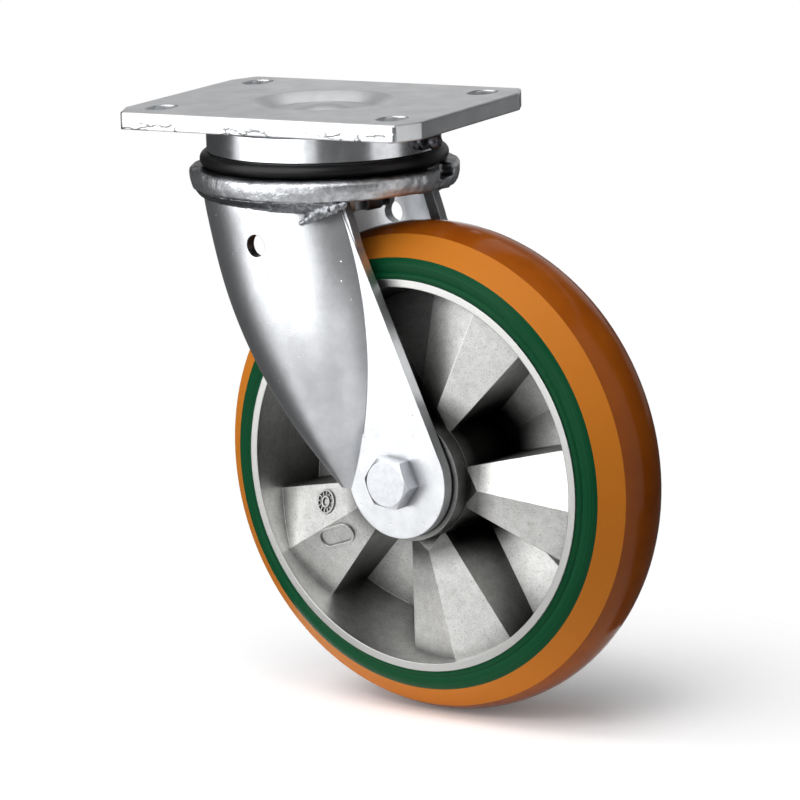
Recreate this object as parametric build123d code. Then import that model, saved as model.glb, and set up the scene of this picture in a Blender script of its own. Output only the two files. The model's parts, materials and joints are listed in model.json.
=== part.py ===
# Swivel castor: a welded steel fork turns under a slotted top plate and carries a
# 200 mm wheel with a cast aluminium centre, an elastic layer and a hard tread.
# Millimetres, +Z up. The origin is the centre of the plate's top face, on the swivel axis.
# The fork and wheel are modelled trailing along +X, then turned together by fork_angle.
from build123d import *
from math import acos, atan2, cos, degrees, hypot, radians, sin, sqrt, tan
import os

# Overall layout
fork_angle = -7.9
trail = 55.0
wheel_clearance = 11.5

# Hexagons: the chamfer's angle, and the share of the width across flats that it leaves
hexagon_chamfer = 30.0
hexagon_face_share = 0.95

# Top plate with slotted bolt holes, clipped corners and a pressed dish
plate_length = 135.0
plate_width = 110.0
plate_thickness = 7.0
corner_cut_x = 5.5
corner_cut_y = 13.0
corner_rounding = 2.5
top_edge_rounding = 0.8
bolt_spacing_x = 105.0
bolt_spacing_y = 77.5
slot_width = 11.0
slot_length = 15.5
dish_radius = 29.0
dish_floor_radius = 21.0
dish_depth = 3.6
dish_wall = 5.0
dish_wall_bow = 0.42

# Kingpin, its dome in the dish and its slotted nut
kingpin_radius = 10.0
dome_radius = 12.5
dome_rise = 2.6
kingpin_collar_radius = 14.0
kingpin_end = 1.0
thread_chamfer = 1.0
nut_radius = 28.0
nut_height = 4.6
nut_slots = 12
nut_slot_width = 6.0
nut_slot_depth = 3.5
nut_gap = 0.4
nut_chamfer = 1.0
nut_step_inset = 1.0

# Turned bearing ring under the plate, with its weld and grease nipple
ring_radius = 47.5
ring_bore = 32.5
ring_height = 11.5
weld_leg = 2.0
weld_hollow = 0.35
nipple_angle = -7.5
nipple_drop = 5.4
nipple_hex = 6.0
nipple_hex_height = 3.2
nipple_neck_radius = 1.9
nipple_waist = 1.6
nipple_ball_radius = 2.7
nipple_ball_start = 1.2
nipple_ball_end = 2.6
nipple_tip_radius = 1.7
nipple_length = 10.0
nipple_stub = 4.0
nipple_drill_depth = 9.0

# Ball race between ring and crown, and the rubber seal round it
race_gap = 6.5
race_radius = 38.5
ball_radius = 4.6
race_clearance = 0.05
cage_wall = 1.2
cage_height = 4.8
cage_half_width = 3.2
cage_seat = 0.3
seal_section = 3.1
seal_radius = 47.3

# Fork crown, forged, with a collar for the lower bearing and one lock notch
crown_radius = 54.6
crown_thickness = 8.5
crown_edge_round = 1.4
crown_draft = 1.0
crown_parting = 3.8
collar_radius = 30.5
collar_draft = 0.6
collar_rise = 7.0
collar_lip = 1.6
collar_lip_bore = 19.0
notch_angle = 13.0
notch_width = 14.0
notch_depth = 4.2
notch_reach = 7.0

# Tapered roller bearing in the crown
lower_bearing_radius = 23.5
lower_bearing_height = 13.5
cup_top_radius = 17.9
cup_bottom_radius = 21.4
cone_top_radius = 12.9
cone_bottom_radius = 15.4
cone_flange_radius = 16.8
cone_flange_height = 1.6
roller_count = 14
roller_clearance = 0.03
roller_end_gap = 0.6

# Pressed fork legs: a flat side with a round boss, and a tapering half-cone hump
leg_thickness = 5.0
fork_gap = 54.0
boss_radius = 23.5
weld_ledge = 5.6
hump_lead_mid = (-80.6, 58.5)
hump_tip = (-24.6, -7.0)
crease_top = -25.4
crease_mid = (-12.6, 52.0)
crease_low = (-22.2, -6.0)
hump_sections = 8
hump_crowding = 1.6
hump_tip_rise = 1.5
hollow_floor = 4.0
hollow_inset = 5.8
crease_wall = 3.0
hump_seat = 0.5
hump_root = 2.0
brake_hole_radius = 4.5
brake_hole_x = 1.5
brake_hole_drop = 52.0
leg_weld_size = 5.0
leg_weld_inset = 0.4
leg_weld_hollow = 0.45
leg_weld_start = -144.0
leg_weld_sweep = 96.0

# Axle: bolt, tube, washers and nut
bolt_radius = 6.0
bolt_hole_radius = 6.25
bolt_head_flats = 19.0
bolt_head_height = 7.5
bolt_head_turn = -5.5
nut_flats = 19.0
axle_nut_height = 10.8
washer_radius = 12.0
washer_thickness = 2.5
bolt_stick_out = 3.0
tube_radius = 10.0
tube_bore = 6.15
thrust_washer_radius = 15.0
hub_clearance = 1.0

# Wheel bearings
bearing_radius = 23.5
bearing_width = 14.0
outer_race_wall = 3.2
inner_race_wall = 4.4
bearing_seal_thickness = 1.0
bearing_seal_inset = 0.5
bearing_gap = 0.15
bearing_cage_width = 7.0
bearing_cage_thickness = 2.4
spacer_wall = 2.5

# Cast wheel centre: hub, ten corrugated blades and rim
hub_radius = 25.7
hub_root_radius = 26.8
hub_rest_bore = 19.5
rim_outer_radius = 79.7
rim_half_width = 23.5
rim_lip_wall = 3.1
rim_throat_wall = 9.1
blade_pairs = 5
blade_phase = -5.6
ridge_inner_radius = 31.0
ridge_inner_height = 20.5
ridge_end_inset = 6.2
ridge_outer_height = 18.0
blade_slope = 0.29
pocket_half_angle = 17.2
blade_wall = 6.5
bevel_drop = 1.6

# Elastic layer, with a bead against the rim and a broad swell, and tread
layer_thickness = 8.3
layer_shoulder = 20.0
layer_foot = 22.6
layer_bead = 2.5
layer_bead_rise = 0.5
layer_groove = 21.9
layer_swell_rise = 0.9
tread_thickness = 12.0
tread_edge_drop = 3.6
tread_edge = 12.75

# Radii worked out from the sizes above
rim_lip_radius = rim_outer_radius - rim_lip_wall
rim_throat_radius = rim_outer_radius - rim_throat_wall
ridge_outer_radius = rim_outer_radius - ridge_end_inset
layer_outer_radius = rim_outer_radius + layer_thickness
tread_radius = layer_outer_radius + tread_thickness
tread_edge_radius = tread_radius - tread_edge_drop

# Levels and places worked out from the sizes above
ring_bottom = -plate_thickness - ring_height
crown_top = ring_bottom - race_gap
crown_bottom = crown_top - crown_thickness
race_level = ring_bottom - race_gap / 2
collar_top = crown_top + collar_rise
lower_bearing_top = collar_top - collar_lip
lower_bearing_bottom = lower_bearing_top - lower_bearing_height
nut_top = lower_bearing_bottom
nut_bottom = min(nut_top, crown_bottom) - nut_height
leg_top = tread_radius + wheel_clearance
axle_drop = leg_top - crown_bottom
leg_inner = fork_gap / 2
leg_outer = leg_inner + leg_thickness
leg_top_radius = crown_radius - weld_ledge
hump_rise = leg_top_radius - leg_outer
hump_lead_top = -trail - sqrt(leg_top_radius**2 - leg_inner**2)
hub_half = leg_inner - hub_clearance


def turned(*outline):
    """A solid of revolution about Z from its section's corners (radius, height)."""
    section = make_face(Polyline(*outline, close=True))
    return revolve(Plane.XZ * section, Axis.Z)


def turned_curve(*edges):
    """A solid of revolution about Z from a closed section of lines and arcs."""
    section = make_face(Curve() + list(edges))
    return revolve(Plane.XZ * section, Axis.Z)


def ring(outer, inner, low, high):
    """A plain ring about Z between two heights."""
    return turned((inner, low), (outer, low), (outer, high), (inner, high))


def upright(height, shape):
    """Lifts a shape drawn about the origin to a height."""
    return Pos(0, 0, height) * shape


def on_axle(shape):
    """Lays a shape modelled about Z along the axle: its +Z becomes the far side, +Y."""
    return Pos(trail, 0, -axle_drop) * Rot(-90, 0, 0) * shape


def far_side(shape):
    """The mirror image of an axle-mounted shape, on the wheel's other side."""
    return mirror(shape, Plane.XY)


def hexagon_prism(flats, height, turn=0.0):
    """A hexagonal prism from z = 0 with the corners of its far end chamfered."""
    corner = flats / sqrt(3)
    prism = extrude(RegularPolygon(corner, 6, rotation=turn), height)
    face_radius = hexagon_face_share * flats / 2
    envelope = 2 * corner
    chamfer_end = height - (envelope - face_radius) * tan(radians(hexagon_chamfer))
    return prism & turned(
        (0, chamfer_end - corner),
        (envelope, chamfer_end - corner),
        (envelope, chamfer_end),
        (face_radius, height),
        (0, height),
    )


def circle_through(a, b, c):
    """Centre and radius of the circle through three points."""
    (ax, ay), (bx, by), (cx, cy) = a, b, c
    d = 2 * (ax * (by - cy) + bx * (cy - ay) + cx * (ay - by))
    a2, b2, c2 = ax * ax + ay * ay, bx * bx + by * by, cx * cx + cy * cy
    x = (a2 * (by - cy) + b2 * (cy - ay) + c2 * (ay - by)) / d
    y = (a2 * (cx - bx) + b2 * (ax - cx) + c2 * (bx - ax)) / d
    return x, y, hypot(ax - x, ay - y)


def top_plate():
    """Rolled steel plate: clipped corners, four slots and the dish round the kingpin."""
    half_x = plate_length / 2
    half_y = plate_width / 2
    outline = Polyline(
        (half_x - corner_cut_x, half_y),
        (-half_x + corner_cut_x, half_y),
        (-half_x, half_y - corner_cut_y),
        (-half_x, -half_y + corner_cut_y),
        (-half_x + corner_cut_x, -half_y),
        (half_x - corner_cut_x, -half_y),
        (half_x, -half_y + corner_cut_y),
        (half_x, half_y - corner_cut_y),
        close=True,
    )
    blank = extrude(make_face(outline), -plate_thickness)
    blank = fillet(blank.edges().filter_by(Axis.Z), corner_rounding)
    blank = fillet(blank.faces().sort_by(Axis.Z)[-1].outer_wire().edges(), top_edge_rounding)
    swell = turned(
        (0, -plate_thickness),
        (dish_radius, -plate_thickness),
        (dish_floor_radius, -dish_depth - dish_wall),
        (0, -dish_depth - dish_wall),
    )
    wall_mid = ((dish_radius + dish_floor_radius) / 2, -dish_depth * dish_wall_bow)
    dish = turned_curve(
        Line((0, 0), (dish_radius, 0)),
        ThreePointArc((dish_radius, 0), wall_mid, (dish_floor_radius, -dish_depth)),
        Line((dish_floor_radius, -dish_depth), (0, -dish_depth)),
        Line((0, -dish_depth), (0, 0)),
    )
    slot = extrude(SlotOverall(slot_length, slot_width, rotation=90), -plate_thickness)
    slots = GridLocations(bolt_spacing_x, bolt_spacing_y, 2, 2) * slot
    bore = Cylinder(kingpin_radius, 3 * plate_thickness)
    return blank + swell - dish - slots - bore


def kingpin():
    """Shouldered pin through the plate: a low dome in the dish, a shank and a round end."""
    top = -dish_depth
    shoulder = -dish_depth - dish_wall
    end = nut_bottom - kingpin_end
    dome_top = (0, top + dome_rise)
    dome_edge = (dome_radius, top)
    collar = kingpin_collar_radius
    tip = kingpin_radius - thread_chamfer
    return turned_curve(
        TangentArc(dome_top, dome_edge, tangent=(1, 0)),
        Line(dome_edge, (kingpin_radius, top)),
        Line((kingpin_radius, top), (kingpin_radius, shoulder)),
        Line((kingpin_radius, shoulder), (collar, shoulder)),
        Line((collar, shoulder), (collar, lower_bearing_top)),
        Line((collar, lower_bearing_top), (kingpin_radius, lower_bearing_top)),
        Line((kingpin_radius, lower_bearing_top), (kingpin_radius, end + thread_chamfer)),
        Line((kingpin_radius, end + thread_chamfer), (tip, end)),
        Line((tip, end), (0, end)),
        Line((0, end), dome_top),
    )


def kingpin_nut():
    """Round nut that closes the swivel head, with slots for a hook spanner."""
    step_radius = cone_bottom_radius - nut_step_inset
    clear_top = crown_bottom - nut_gap
    body = turned(
        (kingpin_radius, nut_bottom),
        (nut_radius - nut_chamfer, nut_bottom),
        (nut_radius, nut_bottom + nut_chamfer),
        (nut_radius, clear_top),
        (step_radius, clear_top),
        (step_radius, nut_top),
        (kingpin_radius, nut_top),
    )
    slot = Pos(nut_radius, 0, nut_bottom) * Box(2 * nut_slot_depth, nut_slot_width, 3 * nut_height)
    return body - PolarLocations(0, nut_slots) * slot


def bearing_ring():
    """Turned ring under the plate, with the upper groove of the ball race."""
    body = ring(ring_radius, ring_bore, ring_bottom, -plate_thickness)
    groove = upright(race_level, Torus(race_radius, ball_radius + race_clearance))
    drill = nipple_place() * Cylinder(nipple_neck_radius, 2 * nipple_drill_depth)
    return body - groove - drill


def ring_weld():
    """Fillet weld that joins the bearing ring to the plate."""
    return turned(
        (ring_radius, -plate_thickness),
        (ring_radius + weld_leg, -plate_thickness),
        (ring_radius + weld_leg * weld_hollow, -plate_thickness - weld_leg * weld_hollow),
        (ring_radius, -plate_thickness - weld_leg),
    )


def nipple_place():
    """Where the nipple sits: on the ring, its +Z pointing straight out from the axis."""
    radial = Rot(0, 0, nipple_angle) * Pos(ring_radius, 0, -plate_thickness - nipple_drop)
    return radial * Rot(0, 90, 0)


def grease_nipple():
    """Grease nipple: screwed stub, hexagon, neck and the head that a grease gun grips."""
    stub = Pos(0, 0, -nipple_stub / 2) * Cylinder(nipple_neck_radius, nipple_stub)
    nut = hexagon_prism(nipple_hex, nipple_hex_height)
    head_top = nipple_length
    head_low = nipple_hex_height + nipple_waist
    head = turned(
        (0, 0),
        (nipple_neck_radius, 0),
        (nipple_neck_radius, head_low),
        (nipple_ball_radius, head_low + nipple_ball_start),
        (nipple_ball_radius, head_low + nipple_ball_end),
        (nipple_tip_radius, head_top),
        (0, head_top),
    )
    return nipple_place() * (stub + nut + head)


def upper_ball_cage():
    """Pressed cage ring over the crown that keeps the balls of the upper race apart."""
    inner = race_radius - cage_half_width
    outer = race_radius + cage_half_width
    low = crown_top + cage_seat
    high = low + cage_height
    return turned(
        (inner, low),
        (outer, low),
        (outer, high),
        (outer - cage_wall, high),
        (outer - cage_wall, low + cage_wall),
        (inner, low + cage_wall),
    )


def swivel_seal():
    """Rubber ring round the ball race, lying on the crown."""
    return upright(crown_top + seal_section, Torus(seal_radius, seal_section))


def crown():
    """Forged fork head: a drafted disc with a raised collar, the bearing bore and a notch."""
    edge_low = crown_radius - crown_draft
    body = turned(
        (lower_bearing_radius, crown_bottom),
        (edge_low, crown_bottom),
        (crown_radius, crown_bottom + crown_parting),
        (crown_radius, crown_top - crown_edge_round),
        (crown_radius - crown_edge_round, crown_top),
        (collar_radius, crown_top),
        (collar_radius - collar_draft, collar_top),
        (collar_lip_bore, collar_top),
        (collar_lip_bore, lower_bearing_top),
        (lower_bearing_radius, lower_bearing_top),
    )
    groove = upright(race_level, Torus(race_radius, ball_radius + race_clearance))
    notch_start = crown_radius - notch_reach
    notch = Pos(notch_start + notch_reach, 0, crown_top) * Box(
        2 * notch_reach, notch_width, 2 * notch_depth
    )
    return body - groove - Rot(0, 0, notch_angle) * notch


def lower_bearing_cup():
    """Outer ring of the tapered bearing, pressed into the crown from below."""
    bottom = lower_bearing_bottom + cone_flange_height
    return turned(
        (cup_top_radius, lower_bearing_top),
        (lower_bearing_radius, lower_bearing_top),
        (lower_bearing_radius, bottom),
        (cup_bottom_radius, bottom),
    )


def lower_bearing_cone():
    """Inner ring of the tapered bearing on the kingpin, with its lower flange."""
    flange_top = lower_bearing_bottom + cone_flange_height
    return turned(
        (kingpin_radius, lower_bearing_bottom),
        (cone_flange_radius, lower_bearing_bottom),
        (cone_flange_radius, flange_top),
        (cone_bottom_radius, flange_top),
        (cone_top_radius, lower_bearing_top),
        (kingpin_radius, lower_bearing_top),
    )


def lower_bearing_rollers():
    """Tapered rollers between cup and cone."""
    low = lower_bearing_bottom + cone_flange_height
    travel = lower_bearing_top - low
    mid_top = (cup_top_radius + cone_top_radius) / 2
    mid_low = (cup_bottom_radius + cone_bottom_radius) / 2
    lean = atan2(mid_low - mid_top, travel)
    cup_lean = atan2(cup_bottom_radius - cup_top_radius, travel)
    low_gap = (cup_bottom_radius - cone_bottom_radius) / 2
    top_gap = (cup_top_radius - cone_top_radius) / 2
    path = travel / cos(lean)
    margin = roller_end_gap + low_gap * sin(lean)
    end_loss = (low_gap - top_gap) * margin / path
    wide = (low_gap - end_loss) * cos(cup_lean) - roller_clearance
    slim = (top_gap + end_loss) * cos(cup_lean) - roller_clearance
    roller = Cone(wide, slim, path - 2 * margin)
    seat = Pos((mid_top + mid_low) / 2, 0, low + travel / 2) * Rot(0, -degrees(lean), 0)
    return Compound(PolarLocations(0, roller_count) * (seat * roller))


def lead_x(height, lead):
    """The hump's leading edge, on its side-view circle, at a height above the axle."""
    x, z, radius = lead
    return x - sqrt(radius**2 - (height - z) ** 2)


def crease_x(height, crease):
    """The crease between hump and flat, on its side-view circle, at a height."""
    x, z, radius = crease
    return x + sqrt(radius**2 - (height - z) ** 2)


def hump_level(step):
    """Section heights from the crown down to the tip, closer together near the tip."""
    left_over = (1 - step / hump_sections) ** hump_crowding
    lowest = hump_tip[1] + hump_tip_rise
    return lowest + (leg_top - lowest) * left_over


def hump_arc(height, base, inset_lead, inset_crease):
    """Start, peak and finish of the hump's arc at one level, with insets for the hollow."""
    lead = lead_x(height, circle_through((hump_lead_top, leg_top), hump_lead_mid, hump_tip))
    crease = crease_x(height, circle_through((crease_top, leg_top), crease_mid, crease_low))
    rise = hump_rise * min(1.0, (crease - lead) / (crease_top - hump_lead_top))
    start = (lead + inset_lead, -leg_inner)
    peak = ((lead + crease) / 2, -base - rise)
    finish = (crease - inset_crease, hump_seat - base)
    return start, peak, finish


def hump_section(height):
    """One level cut of the hump: out from the leading edge, over, and into the flat side."""
    start, peak, finish = hump_arc(height, leg_outer, 0, 0)
    rooted = finish[0] + hump_root
    outline = Polyline(finish, (rooted, finish[1]), (rooted, -leg_inner), start)
    face = make_face(Curve() + [ThreePointArc(start, peak, finish), outline])
    return Pos(0, 0, height) * face


def hollow_section(height):
    """One level cut of the space inside the hump, open to the fork's inside."""
    start, peak, finish = hump_arc(height, leg_inner + hump_seat, hollow_inset, crease_wall)
    open_side = hump_seat - leg_inner
    outline = Polyline(finish, (finish[0], open_side), (start[0], open_side), start)
    face = make_face(Curve() + [ThreePointArc(start, peak, finish), outline])
    return Pos(0, 0, height) * face


def leg():
    """Near fork leg, with its axle hole at the origin: flat side, boss and hollow hump."""
    steps = range(hump_sections + 1)
    levels = [hump_level(step) for step in steps]
    hump = loft([hump_section(level) for level in levels])
    hollow = loft([hollow_section(level) for level in levels if level > hollow_floor])
    top_corner = (crease_top, leg_top)
    reach = hypot(*top_corner)
    touch = atan2(leg_top, crease_top) - acos(boss_radius / reach)
    tangent_point = (boss_radius * cos(touch), boss_radius * sin(touch))
    side = make_face(
        Curve()
        + [
            ThreePointArc(top_corner, crease_mid, crease_low),
            Line(crease_low, (0, 0)),
            Line((0, 0), tangent_point),
            Line(tangent_point, top_corner),
        ]
    )
    side += Circle(boss_radius)
    flat = Pos(0, -leg_inner, 0) * extrude(Plane.XZ * side, leg_thickness)
    axle_hole = Rot(90, 0, 0) * Cylinder(bolt_hole_radius, 4 * leg_outer)
    brake_hole = Rot(90, 0, 0) * Cylinder(brake_hole_radius, 4 * leg_outer)
    brake_place = Pos(brake_hole_x - trail, 0, axle_drop - brake_hole_drop)
    return flat + hump - hollow - axle_hole - brake_place * brake_hole


def leg_weld(near_leg):
    """Outside fillet weld along the top of the near leg, under the crown."""
    edge = crown_radius - crown_draft
    inner = edge - 2 * leg_weld_size
    outer = edge - leg_weld_inset
    rise = leg_weld_size * leg_weld_hollow
    section = make_face(
        Polyline(
            (inner, crown_bottom),
            (outer, crown_bottom),
            (outer - rise, crown_bottom + rise - leg_weld_size),
            (outer - leg_weld_size, crown_bottom - leg_weld_size),
            (inner, crown_bottom - leg_weld_size),
            close=True,
        )
    )
    start = Plane.XZ.rotated((0, 0, leg_weld_start))
    bead = revolve(start * section, Axis.Z, leg_weld_sweep)
    rest = bead - near_leg
    return rest.solids().sort_by(SortBy.VOLUME)[-1]


def axle_bolt():
    """Hexagon bolt along the axle, its head on the near leg."""
    head_start = -leg_outer
    end = leg_outer + washer_thickness + axle_nut_height + bolt_stick_out
    head = Pos(0, 0, head_start) * mirror(
        hexagon_prism(bolt_head_flats, bolt_head_height, -bolt_head_turn), Plane.XY
    )
    shank = turned(
        (0, head_start - bolt_head_height / 2),
        (bolt_radius, head_start - bolt_head_height / 2),
        (bolt_radius, end - thread_chamfer),
        (bolt_radius - thread_chamfer, end),
        (0, end),
    )
    return on_axle(head + shank)


def axle_nut():
    """Hexagon nut on the far leg."""
    body = hexagon_prism(nut_flats, axle_nut_height) - Cylinder(bolt_radius, 3 * axle_nut_height)
    return on_axle(Pos(0, 0, leg_outer + washer_thickness) * body)


def nut_washer():
    """Flat washer under the nut."""
    low = leg_outer
    return on_axle(ring(washer_radius, bolt_hole_radius, low, low + washer_thickness))


def axle_tube():
    """Steel tube between the legs that carries both bearings."""
    return on_axle(ring(tube_radius, tube_bore, -leg_inner, leg_inner))


def thrust_washer():
    """Washer between leg and bearing, for the near side."""
    return ring(thrust_washer_radius, tube_radius, -leg_inner, -hub_half)


def bearing_outer_ring():
    """Outer ring of a wheel bearing, near side."""
    inner = bearing_radius - outer_race_wall
    return ring(bearing_radius, inner, -hub_half, -hub_half + bearing_width)


def bearing_inner_ring():
    """Inner ring of a wheel bearing, near side."""
    outer = tube_radius + inner_race_wall
    return ring(outer, tube_radius, -hub_half, -hub_half + bearing_width)


def bearing_seal():
    """Rubber seal that closes a wheel bearing on its outside, near side."""
    outer = bearing_radius - outer_race_wall
    inner = tube_radius + inner_race_wall + bearing_gap
    low = -hub_half + bearing_seal_inset
    return ring(outer, inner, low, low + bearing_seal_thickness)


def bearing_cage():
    """Moulded cage ring of a wheel bearing, guided by the outer ring, near side."""
    outer = bearing_radius - outer_race_wall - cage_seat
    centre = -hub_half + bearing_width / 2
    low = centre - bearing_cage_width / 2
    return ring(outer, outer - bearing_cage_thickness, low, low + bearing_cage_width)


def inner_spacer():
    """Distance sleeve on the tube between the two inner rings."""
    half = hub_half - bearing_width
    return on_axle(ring(tube_radius + spacer_wall, tube_radius, -half, half))


def rim_wall(height):
    """Radius of the rim's tapered inner wall at a height, from its lip inwards."""
    slope = (rim_lip_radius - rim_throat_radius) / (2 * rim_half_width)
    return rim_lip_radius - slope * (height + rim_half_width)


def pocket_space():
    """The ring of space between hub and rim that the near side's cuts work in."""
    low = -2 * rim_half_width
    high = rim_half_width
    return turned(
        (hub_radius, low),
        (rim_wall(low), low),
        (rim_wall(high), high),
        (hub_root_radius, high),
    )


def wedge(half_angle):
    """A wedge of space about +X, wide enough for one blade or pocket."""
    far = 2 * rim_outer_radius
    side = far * tan(radians(half_angle))
    outline = Polyline((0, 0), (far, -side), (far, side), close=True)
    return Pos(0, 0, -far / 2) * extrude(make_face(outline), far)


def roof_cut(start_height, slope):
    """Space in front of a folded blade face whose fold line runs out from the hub."""
    run = ridge_outer_radius - ridge_inner_radius
    fall = ridge_inner_height - ridge_outer_height
    fold = Plane(
        origin=(0, 0, start_height - fall / run * ridge_inner_radius),
        x_dir=(0, 1, 0),
        z_dir=(run, 0, fall),
    )
    wide = rim_outer_radius / 2
    tall = 3 * rim_half_width
    outline = Polyline(
        (0, 0),
        (wide, slope * wide),
        (wide, -tall),
        (-wide, -tall),
        (-wide, slope * wide),
        close=True,
    )
    return extrude(fold * make_face(outline), 2 * rim_outer_radius)


def near_side_cuts():
    """Everything that the casting tool removes from the near side of the web."""
    space = pocket_space()
    front_face = roof_cut(-ridge_inner_height, blade_slope)
    half_pitch = 180 / blade_pairs
    pitch = 2 * half_pitch
    blade_cut = front_face & wedge(half_pitch) & space
    valley_height = ridge_inner_height - blade_wall
    far_face = roof_cut(valley_height, -blade_slope)
    pocket_cut = far_face & wedge(pocket_half_angle) & space
    cuts = [Rot(0, 0, i * pitch) * blade_cut for i in range(blade_pairs)]
    cuts += [Rot(0, 0, half_pitch + i * pitch) * pocket_cut for i in range(blade_pairs)]
    bevel_low = -ridge_inner_height + bevel_drop
    hub_bevel = turned(
        (hub_radius, -rim_half_width),
        (ridge_inner_radius, -rim_half_width),
        (ridge_inner_radius, -ridge_inner_height),
        (hub_radius, bevel_low),
    )
    return cuts + [hub_bevel]


def wheel_centre():
    """Cast wheel centre: hub with bearing seats, folded web and rim in one piece."""
    seat = hub_half - bearing_width
    hub = turned(
        (hub_rest_bore, -seat),
        (bearing_radius, -seat),
        (bearing_radius, -hub_half),
        (hub_radius, -hub_half),
        (hub_radius, hub_half),
        (bearing_radius, hub_half),
        (bearing_radius, seat),
        (hub_rest_bore, seat),
    )
    web_inner = (bearing_radius + hub_radius) / 2
    web = ring(rim_outer_radius, web_inner, -rim_half_width, rim_half_width)
    cuts = near_side_cuts()
    half_pitch = 180 / blade_pairs
    near_tools = [Rot(0, 0, -blade_phase) * cut for cut in cuts]
    far_tools = [Rot(0, 0, half_pitch - blade_phase) * far_side(cut) for cut in cuts]
    web = web - near_tools - far_tools
    return on_axle(web + hub)


def layer_side(side):
    """One side of the elastic layer's section, from the rim out to the tread."""
    foot = (rim_outer_radius, side * layer_foot)
    groove = (rim_outer_radius + layer_bead, side * layer_groove)
    shoulder = (layer_outer_radius, side * layer_shoulder)
    bead_radius = (foot[0] + groove[0]) / 2
    swell_radius = (groove[0] + shoulder[0]) / 2
    bead_top = (bead_radius, (foot[1] + groove[1]) / 2 + side * layer_bead_rise)
    swell_top = (swell_radius, (groove[1] + shoulder[1]) / 2 + side * layer_swell_rise)
    bead = ThreePointArc(foot, bead_top, groove)
    swell = ThreePointArc(groove, swell_top, shoulder)
    return [bead, swell]


def elastic_layer():
    """Soft layer cast round the rim: a bead, a groove and a broad swell at each side."""
    inner = rim_outer_radius
    outer = layer_outer_radius
    return on_axle(
        turned_curve(
            Line((inner, -layer_foot), (inner, layer_foot)),
            *layer_side(1),
            Line((outer, layer_shoulder), (outer, -layer_shoulder)),
            *layer_side(-1),
        )
    )


def tread():
    """Hard tread: conical flanks and a crowned running face."""
    inner = layer_outer_radius
    edge = tread_edge_radius
    return on_axle(
        turned_curve(
            Line((inner, -layer_shoulder), (inner, layer_shoulder)),
            Line((inner, layer_shoulder), (edge, tread_edge)),
            ThreePointArc((edge, tread_edge), (tread_radius, 0), (edge, -tread_edge)),
            Line((edge, -tread_edge), (inner, -layer_shoulder)),
        )
    )


def build():
    """Every piece by name, each in the castor's own frame."""
    near_leg = Pos(trail, 0, -axle_drop) * leg()
    near_weld = leg_weld(near_leg)
    plate_pieces = {
        "top_plate": top_plate(),
        "kingpin": kingpin(),
        "kingpin_nut": kingpin_nut(),
        "bearing_ring": bearing_ring(),
        "ring_weld": ring_weld(),
        "grease_nipple": grease_nipple(),
        "lower_bearing_cone": lower_bearing_cone(),
    }
    fork_pieces = {
        "upper_ball_cage": upper_ball_cage(),
        "swivel_seal": swivel_seal(),
        "crown": crown(),
        "lower_bearing_cup": lower_bearing_cup(),
        "lower_bearing_rollers": lower_bearing_rollers(),
        "leg_near": near_leg,
        "leg_far": mirror(near_leg, Plane.XZ),
        "leg_weld_near": near_weld,
        "leg_weld_far": mirror(near_weld, Plane.XZ),
        "axle_bolt": axle_bolt(),
        "axle_nut": axle_nut(),
        "nut_washer": nut_washer(),
        "axle_tube": axle_tube(),
        "inner_spacer": inner_spacer(),
        "thrust_washer_near": on_axle(thrust_washer()),
        "thrust_washer_far": on_axle(far_side(thrust_washer())),
        "bearing_inner_ring_near": on_axle(bearing_inner_ring()),
        "bearing_inner_ring_far": on_axle(far_side(bearing_inner_ring())),
        "wheel_centre": wheel_centre(),
        "elastic_layer": elastic_layer(),
        "tread": tread(),
        "bearing_outer_ring_near": on_axle(bearing_outer_ring()),
        "bearing_outer_ring_far": on_axle(far_side(bearing_outer_ring())),
        "bearing_seal_near": on_axle(bearing_seal()),
        "bearing_seal_far": on_axle(far_side(bearing_seal())),
        "bearing_cage_near": on_axle(bearing_cage()),
        "bearing_cage_far": on_axle(far_side(bearing_cage())),
    }
    turned_fork = {name: Rot(0, 0, fork_angle) * shape for name, shape in fork_pieces.items()}
    return plate_pieces | turned_fork


os.makedirs("parts", exist_ok=True)
for name, shape in build().items():
    export_step(shape, f"parts/{name}.step")
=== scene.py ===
# Swivel castor with a welded steel fork and a polyurethane tyre on a cast aluminium centre.
# Metres, in the castor's own frame: +Z up, origin on the plate's top face on the swivel axis.
import json
from math import atan2, copysign, cos, pi, radians, sin

import bmesh
import bpy
from mathutils import Euler, Matrix, Vector, noise


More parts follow.
